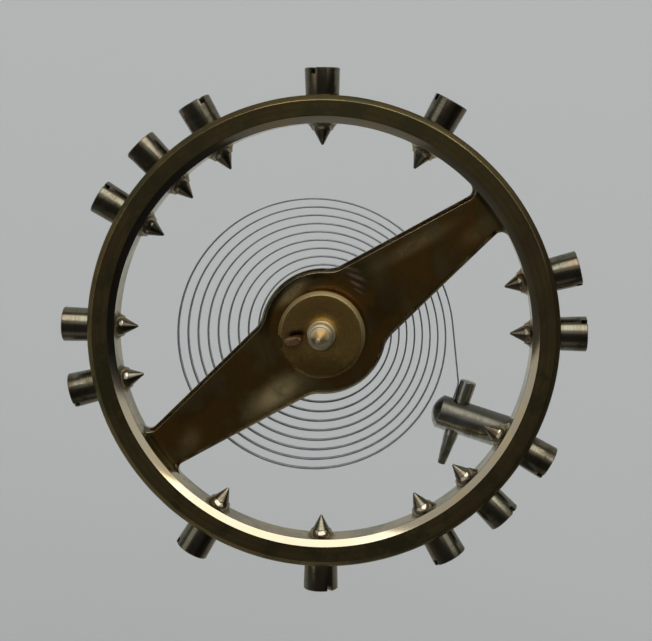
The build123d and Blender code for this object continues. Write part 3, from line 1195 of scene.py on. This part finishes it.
@dataclass
class Screws:
    """The balance screws, with their slotted heads outside the rim."""

    turns: tuple[float, ...] = (
        0, 14.5, 61, 90.1, 119.4, 134.2, 148.8, 178.5,
        193.5, 239, 269.5, 299.5, 314.5, 330,
    )
    slot_turns: tuple[float, ...] = (40, -25, 30, 62, -55, 15, -38, 8, 35, -20, 55, -35, 42, -40)
    head_length: float = 0.68
    head_root_diameter: float = 0.85
    head_end_diameter: float = 0.89
    head_edge: float = 0.02
    slot_width: float = 0.13
    slot_depth: float = 0.16
    shank_diameter: float = 0.44
    point_length: float = 0.36
    point_diameter: float = 0.05
    edge: float = 0.012

    def screw(self, name: str, wheel: Wheel) -> bpy.types.Object:
        """One screw along its own Z, with its slot along its own X.

        Args:
            name: Name of the new object.
            wheel: Wheel that it is driven into.

        Returns:
            The screw.
        """
        head_end = wheel.outer + self.head_length
        shank_end = wheel.inner - wheel.collar_height
        shank = self.shank_diameter / 2
        root, end = self.head_root_diameter / 2, self.head_end_diameter / 2
        corners = [
            (self.point_diameter / 2, shank_end - self.point_length, 0),
            (shank, shank_end, self.edge),
            (shank, wheel.outer, 0),
            (root, wheel.outer, self.edge),
            (end, head_end - self.head_edge, self.edge / 2),
            (end - self.head_edge, head_end, self.edge / 2),
            (end - self.head_edge * 2, head_end, 0),
        ]
        piece = lathe(name, eased(corners))
        length, width = end + OVERRUN, self.slot_width / 2
        outline = [(-length, -width), (length, -width), (length, width), (-length, width)]
        slot = slab("slot", outline, head_end - self.slot_depth, head_end + OVERRUN)
        return carve(piece, Carve.CUT, slot)

    def build(self, wheel: Wheel) -> None:
        """Make every screw.

        Args:
            wheel: Wheel that they are driven into.
        """
        for number, (turn, slot_turn) in enumerate(zip(self.turns, self.slot_turns), start=1):
            piece = self.screw(f"rim_screw_{number:02d}", wheel)
            lean = math.radians(slot_turn)
            slot_line = direction(turn + 90) * math.cos(lean) + UP * math.sin(lean)
            piece.matrix_world = axes(slot_line, direction(turn))
            deliver(piece, f"balance_screw_{number:02d}", "balance", SCREW_BRASS, seed=number)


@dataclass
class Staff:
    """Balance staff: the steel axle that everything sits on."""

    flange_diameter: float = 1.60
    flange_thickness: float = 0.40
    seat_diameter: float = 1.00
    rivet_diameter: float = 1.16
    rivet_height: float = 0.09
    roller_seat_diameter: float = 0.72
    collet_shoulder_diameter: float = 0.94
    collet_seat_diameter: float = 0.80
    collet_seat_overhang: float = 0.06
    post_diameter: float = 0.66
    post_length: float = 0.46
    post_edge: float = 0.05
    neck_diameter: float = 0.48
    lower_neck_diameter: float = 0.58
    lower_neck_length: float = 0.17
    cone_length: float = 0.62
    lower_cone_length: float = 0.34
    cone_hollow_share: float = 0.28
    pivot_diameter: float = 0.11
    pivot_length: float = 0.30
    pivot_edge: float = 0.012
    edge: float = 0.015

    def cone(self, root: Point, tip: Point) -> list[Point]:
        """Hollow flank between a neck and a pivot, without its ends."""
        halfway = (tip[0] + (root[0] - tip[0]) * self.cone_hollow_share, (root[1] + tip[1]) / 2)
        return bent(root, halfway, tip)

    def build(self, wheel: Wheel, roller: "Roller", collet: "Collet") -> None:
        """Make the staff.

        Args:
            wheel: Wheel that it carries.
            roller: Roller on its upper seat.
            collet: Collet on its lower seat.
        """
        pivot, rivet = self.pivot_diameter / 2, self.rivet_diameter / 2
        flange = self.flange_diameter / 2
        wheel_seat, roller_seat = self.seat_diameter / 2, self.roller_seat_diameter / 2
        arm_top, arm_bottom = wheel.arm_top, wheel.arm_top - wheel.arm_thickness
        flange_top = arm_top + self.flange_thickness
        roller_top = flange_top + roller.thickness
        post_top = roller_top + self.post_length
        upper_root = post_top + self.cone_length
        upper_tip = upper_root + self.pivot_length
        seat_bottom = collet.level - collet.height / 2 - self.collet_seat_overhang
        neck_bottom = seat_bottom - self.lower_neck_length
        lower_root = neck_bottom - self.lower_cone_length
        lower_tip = lower_root - self.pivot_length
        collet_top = collet.level + collet.height / 2
        seat, shoulder = self.collet_seat_diameter / 2, self.collet_shoulder_diameter / 2
        lower_neck, neck = self.lower_neck_diameter / 2, self.neck_diameter / 2
        post, ease, tip_ease = self.post_diameter / 2, self.edge, self.pivot_edge
        rivet_bottom = arm_bottom - self.rivet_height
        lower_end, upper_end = (pivot, lower_tip, tip_ease), (pivot, upper_tip, tip_ease)
        lower_pivot = [(pivot / 2, lower_tip, 0), lower_end, (pivot, lower_root, 0)]
        upper_pivot = [(pivot, upper_root, 0), upper_end, (pivot / 2, upper_tip, 0)]
        profile = [
            *eased(lower_pivot),
            *self.cone((lower_neck, neck_bottom), (pivot, lower_root))[::-1],
            *eased(
                [
                    (lower_neck, neck_bottom, 0),
                    (lower_neck, seat_bottom, 0),
                    (seat, seat_bottom, ease),
                    (seat, collet_top, 0),
                    (shoulder, collet_top, ease),
                    (shoulder, rivet_bottom, 0),
                    (rivet, rivet_bottom, self.rivet_height / 2),
                    (rivet, arm_bottom, 0),
                    (wheel_seat, arm_bottom, 0),
                    (wheel_seat, arm_top, 0),
                    (flange, arm_top, ease),
                    (flange, flange_top, ease),
                    (roller_seat, flange_top, 0),
                    (roller_seat, roller_top, ease),
                    (post, roller_top, 0),
                    (post, post_top - self.post_edge, ease),
                    (post - self.post_edge, post_top, ease),
                    (neck, post_top, 0),
                ]
            ),
            *self.cone((neck, post_top), (pivot, upper_root)),
            *eased(upper_pivot),
        ]
        deliver(lathe("staff_body", profile), "balance_staff", "balance", STAFF_STEEL, seed=3)


@dataclass
class Roller:
    """Roller table and the jewel that stands in it."""

    diameter: float = 2.20
    thickness: float = 0.34
    bevel: float = 0.09
    bore_diameter: float = 0.74
    notch_diameter: float = 0.44
    notch_depth: float = 0.12
    jewel_turn: float = 190.0
    jewel_distance: float = 0.70
    jewel_length: float = 0.42
    jewel_width: float = 0.22
    jewel_stand: float = 0.45
    jewel_edge: float = 0.03
    clearance: float = 0.01
    edge: float = 0.012
    sides: int = 192

    def build(self, wheel: Wheel, staff: Staff) -> None:
        """Make the roller and its jewel.

        Args:
            wheel: Wheel below the roller.
            staff: Staff that carries it.
        """
        low = wheel.arm_top + staff.flange_thickness
        high = low + self.thickness
        outer, bore = self.diameter / 2, self.bore_diameter / 2
        corners = [
            (bore, low, self.edge),
            (outer, low, self.edge),
            (outer, high - self.bevel, self.edge),
            (outer - self.bevel, high, self.edge),
            (outer - self.bevel * 1.5, high, 0),
            (bore, high, self.edge),
        ]
        table = lathe("roller_disc", eased(corners, closed=True), Ends.JOINED, sides=self.sides)
        out, across = direction(self.jewel_turn), direction(self.jewel_turn + 90)
        notch_distance = outer - self.notch_depth + self.notch_diameter / 2
        notch_place = axes(out, UP, out * notch_distance)
        span = [(self.notch_diameter / 2, low - OVERRUN), (self.notch_diameter / 2, high + OVERRUN)]
        notch = lathe("notch", span, place=notch_place)
        jewel_place = axes(out, UP, out * self.jewel_distance)
        room = self.clearance * 2
        outline = oblong(self.jewel_length + room, self.jewel_width + room)
        hole = slab("hole", outline, low - OVERRUN, high + OVERRUN, jewel_place)
        carve(table, Carve.CUT, together([notch, hole]))
        deliver(table, "roller_table", "balance", ROLLER_BRASS, seed=5)

        top = high + self.jewel_stand
        section = eased(
            [
                (self.jewel_edge, low, 0),
                (0, low, self.edge / 2),
                (0, top - self.jewel_edge, self.edge / 2),
                (self.jewel_edge, top, self.edge / 2),
                (self.jewel_edge * 2, top, 0),
            ]
        )
        loops = [
            [Vector((x, y, height)) for x, y in oblong(self.jewel_length, self.jewel_width, inset)]
            for inset, height in section
        ]
        jewel = skin("ruby_pin", loops, place=jewel_place)
        deliver(jewel, "impulse_jewel", "balance", JEWEL_RUBY)


@dataclass
class Collet:
    """Split ring that holds the inner end of the hairspring, and its pin."""

    level: float
    diameter: float = 1.58
    height: float = 0.44
    bore_diameter: float = 0.82
    hole_distance: float = 0.585
    hole_diameter: float = 0.26
    slit: float = 0.08
    bevel: float = 0.04
    pin_root_diameter: float = 0.13
    pin_end_diameter: float = 0.09
    pin_length: float = 1.20
    pin_gap: float = 0.008
    edge: float = 0.01
    ring_sides: int = 144
    pin_sides: int = 48

    def build(self, spring: "Hairspring") -> None:
        """Make the collet and its pin.

        Args:
            spring: Hairspring that it holds.
        """
        outer, bore = self.diameter / 2, self.bore_diameter / 2
        low, high = self.level - self.height / 2, self.level + self.height / 2
        corners = [
            (bore, low, self.edge),
            (outer - self.bevel, low, self.edge),
            (outer, low + self.bevel, self.edge),
            (outer, high - self.bevel, self.edge),
            (outer - self.bevel, high, self.edge),
            (bore, high, self.edge),
        ]
        section = eased(corners, closed=True)
        ring = lathe("collet_ring", section, Ends.JOINED, sides=self.ring_sides)
        heading, side = direction(spring.entry_heading), direction(spring.entry_heading + 90)
        half, reach = self.slit / 2, outer + OVERRUN
        slit_place = axes(-side, UP)
        outline = [(0, -half), (reach, -half), (reach, half), (0, half)]
        slit = slab("slit", outline, low - OVERRUN, high + OVERRUN, slit_place)
        middle = side * self.hole_distance + UP * self.level
        chord = axes(UP, heading, middle)
        span = [(self.hole_diameter / 2, -reach), (self.hole_diameter / 2, reach)]
        carve(ring, Carve.CUT, together([slit, lathe("hole", span, place=chord)]))
        deliver(ring, "hairspring_collet", "balance", COLLET_BRASS, seed=6)

        root, end = self.pin_root_diameter / 2, self.pin_end_diameter / 2
        distance = spring.line_distance - spring.thickness / 2 - self.pin_gap - root
        corners = [
            (root / 2, -self.pin_length / 2, 0),
            (root, -self.pin_length / 2, self.edge),
            (end, self.pin_length / 2, self.edge),
            (end / 2, self.pin_length / 2, 0),
        ]
        pin = lathe("collet_taper_pin", eased(corners), sides=self.pin_sides)
        middle = side * distance + UP * self.level
        pin.matrix_world = axes(UP, heading, middle * MM)
        deliver(pin, "collet_pin", "balance", PIN_BRASS, seed=7)


@dataclass
class Hairspring:
    """Flat spiral strip, walked outward and clockwise from the collet to the stud."""

    level: float
    collet: Collet
    thickness: float = 0.04
    height: float = 0.18
    pitch: float = 0.235
    first_radius: float = 0.96
    quarter_turns: int = 47
    drift_turn: float = 212.0
    drift_share: float = 0.16
    bend_radius: float = 0.20
    leaving_turn: float = 5.0
    lead_radius: float = 40.0
    lead_angle: float = 2.0
    hook_radius: float = 0.50
    hook_angle: float = 24.8
    approach_length: float = 0.30
    end_length: float = 0.88
    edge: float = 0.008
    step_angle: float = 3.0
    line_distance: float = field(init=False)
    entry_heading: float = field(init=False)
    place: Vector = field(init=False)
    heading: float = field(init=False)
    walked: float = field(init=False, default=0.0)
    stations: list[tuple[Vector, float, float]] = field(init=False, default_factory=list)
    bound_from: float = field(init=False)
    bound_to: float = field(init=False)
    stud_entry: Vector = field(init=False)
    stud_heading: float = field(init=False)

    def __post_init__(self) -> None:
        """Walk the route, and keep its stations and where it leaves collet and stud."""
        self.line_distance = self.collet.hole_distance + self.collet.pin_gap / 2 + self.thickness
        centre_distance = self.first_radius - self.bend_radius
        rise = math.degrees(math.asin((self.line_distance - self.bend_radius) / centre_distance))
        self.entry_heading = self.leaving_turn + 90 * self.quarter_turns - rise
        chord = math.sqrt((self.collet.diameter / 2) ** 2 - self.collet.hole_distance**2)
        foot = turned(Vector(), self.entry_heading + 90, self.line_distance)
        self.place = turned(foot, self.entry_heading, -chord)
        self.heading = self.entry_heading
        self.go_straight(0.0)
        self.go_straight(chord)
        self.bound_from = self.walked
        self.go_straight(centre_distance * math.cos(math.radians(rise)))
        self.go_round(self.bend_radius, rise - 90)
        radius = self.first_radius
        for _ in range(self.quarter_turns):
            self.go_round(radius, -90)
            off = math.radians(self.heading + 90 - self.drift_turn)
            radius += self.pitch / 4 * (1 - 2 * self.drift_share * math.cos(off))
        self.go_round(self.lead_radius, self.lead_angle)
        self.go_round(self.hook_radius, -self.hook_angle)
        self.go_straight(self.approach_length)
        self.bound_to = self.walked
        self.stud_entry, self.stud_heading = self.place, self.heading
        self.go_straight(self.end_length)

    def go_straight(self, length: float) -> None:
        """Walk on along the heading, to the next station.

        Args:
            length: How far.
        """
        self.place = turned(self.place, self.heading, length)
        self.walked += length
        self.stations.append((self.place, self.heading, self.walked))

    def go_round(self, radius: float, angle: float) -> None:
        """Walk along an arc, with a station at every few degrees.

        Args:
            radius: The arc's radius.
            angle: How far the heading turns, which is clockwise where it is negative.
        """
        side = math.copysign(90, angle)
        centre = turned(self.place, self.heading + side, radius)
        steps = math.ceil(abs(angle) / self.step_angle)
        for _ in range(steps):
            self.heading += angle / steps
            self.walked += math.radians(abs(angle)) / steps * radius
            self.place = turned(centre, self.heading - side, radius)
            self.stations.append((self.place, self.heading, self.walked))

    def build(self) -> None:
        """Make the strip."""
        half, tall, edge = self.thickness / 2, self.height / 2, self.edge
        corners = [
            (-half, -tall, edge),
            (half, -tall, edge),
            (half, tall, edge),
            (-half, tall, edge),
        ]
        section = eased(corners, closed=True, steps=2)
        loops = []
        span = self.bound_to - self.bound_from
        for place, heading, walked in self.stations:
            side = direction(heading + 90)
            loops.append([place + side * x + UP * (self.level + y) for x, y in section])
            share = min(1.0, max(0.0, (self.bound_to - walked) / span))
            [share] * len(section)
        strip = skin("spiral_strip", loops)
        deliver(strip, "hairspring", None, SPRING_STEEL, seed=8)
        tuple(self.stud_entry * MM)
        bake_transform(strip)


@dataclass
class Stud:
    """Post that holds the outer end of the hairspring, and its taper pin."""

    level: float
    diameter: float = 0.88
    dome: float = 0.20
    dome_tip_share: float = 0.05
    dome_middle_share: float = 0.55
    dome_fullness: float = 0.01
    hole_distance: float = 0.43
    length: float = 2.35
    end_edge: float = 0.06
    hole_diameter: float = 0.52
    pin_root_diameter: float = 0.43
    pin_taper_diameter: float = 0.37
    pin_end_diameter: float = 0.20
    pin_edge: float = 0.03
    pin_taper_edge: float = 0.096
    pin_end_edge: float = 0.024
    pin_root_reach: float = 0.99
    pin_end_reach: float = 1.32
    pin_point_length: float = 0.80
    pin_gap: float = 0.010
    edge: float = 0.012
    post_sides: int = 160
    hole_sides: int = 96
    pin_sides: int = 72

    def build(self, spring: Hairspring) -> None:
        """Make the post and its pin.

        Args:
            spring: Hairspring whose end they hold.
        """
        root, taper = self.pin_root_diameter / 2, self.pin_taper_diameter / 2
        taper_length = self.pin_root_reach + self.pin_end_reach - self.pin_point_length
        entry = root - (root - taper) / taper_length * (self.pin_root_reach - self.diameter / 2)
        outward, heading = spring.stud_heading + 90, spring.stud_heading
        strip = turned(spring.stud_entry, heading, self.diameter / 2)
        pin_middle = turned(strip, outward, spring.thickness / 2 + self.pin_gap + entry)
        hole = turned(pin_middle, outward, self.pin_gap + entry - self.hole_diameter / 2)
        inner_end = turned(hole, outward, -self.hole_distance)
        level = UP * self.level

        radius = self.diameter / 2
        tip_share, middle_share = self.dome_tip_share, self.dome_middle_share
        tip = (radius * tip_share, -self.dome * (1 - tip_share**2))
        middle = (radius * middle_share, -self.dome * (1 - middle_share**2 + self.dome_fullness))
        profile = [
            tip,
            *bent(tip, middle, (radius, 0)),
            *eased(
                [
                    (radius, 0, 0),
                    (radius, self.length - self.end_edge, self.edge),
                    (radius - self.end_edge, self.length, self.edge),
                    (radius - self.end_edge * 2, self.length, 0),
                ]
            ),
        ]
        post = lathe("stud_post", profile, sides=self.post_sides)
        across = axes(UP, Vector((1, 0, 0)), UP * self.hole_distance)
        bore, reach = self.hole_diameter / 2, radius + OVERRUN
        span = [(bore, -reach), (bore, reach)]
        tool = lathe("hole", span, place=across, sides=self.hole_sides)
        carve(post, Carve.CUT, tool)
        post.matrix_world = axes(direction(heading), direction(outward), (inner_end + level) * MM)
        deliver(post, "hairspring_stud", "stud", STUD_STEEL, seed=9)

        length = self.pin_root_reach + self.pin_end_reach
        corners = [
            (root / 2, 0, 0),
            (root - self.pin_edge, 0, self.edge),
            (root, self.pin_edge, self.edge),
            (taper, taper_length, self.pin_taper_edge),
            (self.pin_end_diameter / 2, length, self.pin_end_edge),
            (self.pin_end_diameter / 4, length, 0),
        ]
        pin = lathe("stud_taper_pin", eased(corners), sides=self.pin_sides)
        foot = turned(pin_middle, heading, -self.pin_root_reach) + level
        pin.matrix_world = axes(UP, direction(heading), foot * MM)
        deliver(pin, "stud_pin", "stud", STUD_PIN_STEEL, seed=10)


@dataclass(frozen=True)
class Lamp:
    """Soft white rectangular lamp that faces the staff. Lengths are metres."""

    name: str
    turn: float
    height_angle: float
    width: float
    height: float
    radiance: float
    distance: float = 0.50

    def build(self) -> None:
        """Make the lamp."""
        light = bpy.data.lights.new(self.name, "AREA")
        light.shape = "RECTANGLE"
        light.size, light.size_y = self.width, self.height
        light.energy = self.radiance * math.pi * self.width * self.height
        lamp = bpy.data.objects.new(self.name, light)
        rise = math.radians(self.height_angle)
        inward = -(direction(self.turn) * math.cos(rise) + UP * math.sin(rise))
        lamp.location = -inward * self.distance
        lamp.rotation_euler = inward.to_track_quat("-Z", "Y").to_euler()
        lamp.visible_camera = False
        bpy.context.scene.collection.objects.link(lamp)


@dataclass
class Studio:
    """Floor, room, lamps and camera round the part."""

    camera_place: tuple[float, float, float] = (2.45, 4.56, 40.0)
    camera_target: tuple[float, float, float] = (0.080, 0.300, 0.0)
    image_width: int = 652
    focal_pixels: float = 1578.0
    sensor_width: float = 36.0
    floor_level: float = -30.0
    floor_thickness: float = 0.6
    floor_radius: float = 2000.0
    floor_sides: int = 48
    floor_colour: Colour = (0.71, 0.737, 0.728)
    zenith: Colour = (0.052, 0.052, 0.052)
    horizon: Colour = (0.16, 0.16, 0.16)
    sky_span: Span = (0.05, 0.75)
    dark_turn: float = 330.0
    dark_sweep: Span = (0.35, 0.75)
    dark_share: float = 0.75
    lamps: tuple[Lamp, ...] = (
        Lamp("key", 80, 42, 0.52, 0.34, radiance=3.3),
        Lamp("left", 149, 40, 0.54, 0.30, radiance=0.8),
        Lamp("right", 28, 40, 0.24, 0.30, radiance=1.0),
        Lamp("upper", 84, 72, 0.30, 0.16, radiance=0.5),
        Lamp("near", 265, 28, 0.36, 0.20, radiance=0.18),
    )

    def camera(self) -> None:
        """Make the camera of the main view."""
        camera = bpy.data.cameras.new("camera")
        camera.sensor_width = self.sensor_width
        camera.lens = self.focal_pixels * self.sensor_width / self.image_width
        camera.clip_start, camera.clip_end = MM, self.floor_radius * 2 * MM
        view = bpy.data.objects.new("camera", camera)
        backward = (Vector(self.camera_place) - Vector(self.camera_target)).normalized()
        right = Vector((0, 1, 0)).cross(backward).normalized()
        view.matrix_world = axes(right, backward, Vector(self.camera_place) * MM)
        bpy.context.scene.collection.objects.link(view)
        bpy.context.scene.camera = view

    def floor(self) -> None:
        """Make the plain pale floor."""
        radius, level = self.floor_radius, self.floor_level
        profile = [(radius, level - self.floor_thickness), (radius, level)]
        floor = lathe("floor", profile, sides=self.floor_sides)
        material, shader = new_material("floor")
        shader.principled(
            {"Base Color": self.floor_colour, "Roughness": 1.0, "Specular IOR Level": 0.0}
        )
        floor.data.materials.append(material)

    def world(self) -> None:
        """Make the room: dim overhead, paler towards the horizon and dark on one side."""
        world = bpy.data.worlds.new("room")
        world.use_nodes = True
        shader = Shader(world.node_tree)
        ray = shader.node("ShaderNodeTexCoord").outputs["Generated"]
        x, y, height = shader.split(ray)
        step = direction(self.dark_turn)
        dark = (x * step.x + y * step.y).rise(*self.dark_sweep) * self.dark_share
        colour = shader.mix(height.rise(*self.sky_span), self.horizon, self.zenith)
        colour = shader.mix(dark, colour, (0.0, 0.0, 0.0))
        background = shader.node("ShaderNodeBackground", None, {"Color": colour, "Strength": 1.0})
        shader.node("ShaderNodeOutputWorld", None, {"Surface": background.outputs[0]})
        bpy.context.scene.world = world

    def build(self) -> None:
        """Make the whole studio."""
        bpy.context.scene.view_settings.view_transform = "Standard"
        self.camera()
        self.floor()
        self.world()
        for lamp in self.lamps:
            lamp.build()


def main() -> None:
    """Build the part and its studio."""
    logging.basicConfig(level=logging.INFO, format="%(message)s")
    wheel, screws, staff, roller = Wheel(), Screws(), Staff(), Roller()
    stud_low, stud_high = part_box("hairspring_stud")
    level = (stud_low.z + stud_high.z) / 2 / MM
    collet = Collet(level)
    spring = Hairspring(level, collet)
    stud = Stud(level)

    Studio().build()
    wheel.build(screws.turns)
    screws.build(wheel)
    staff.build(wheel, roller, collet)
    roller.build(wheel, staff)
    collet.build(spring)
    spring.build()
    stud.build(spring)


if __name__ == "__main__":
    main()
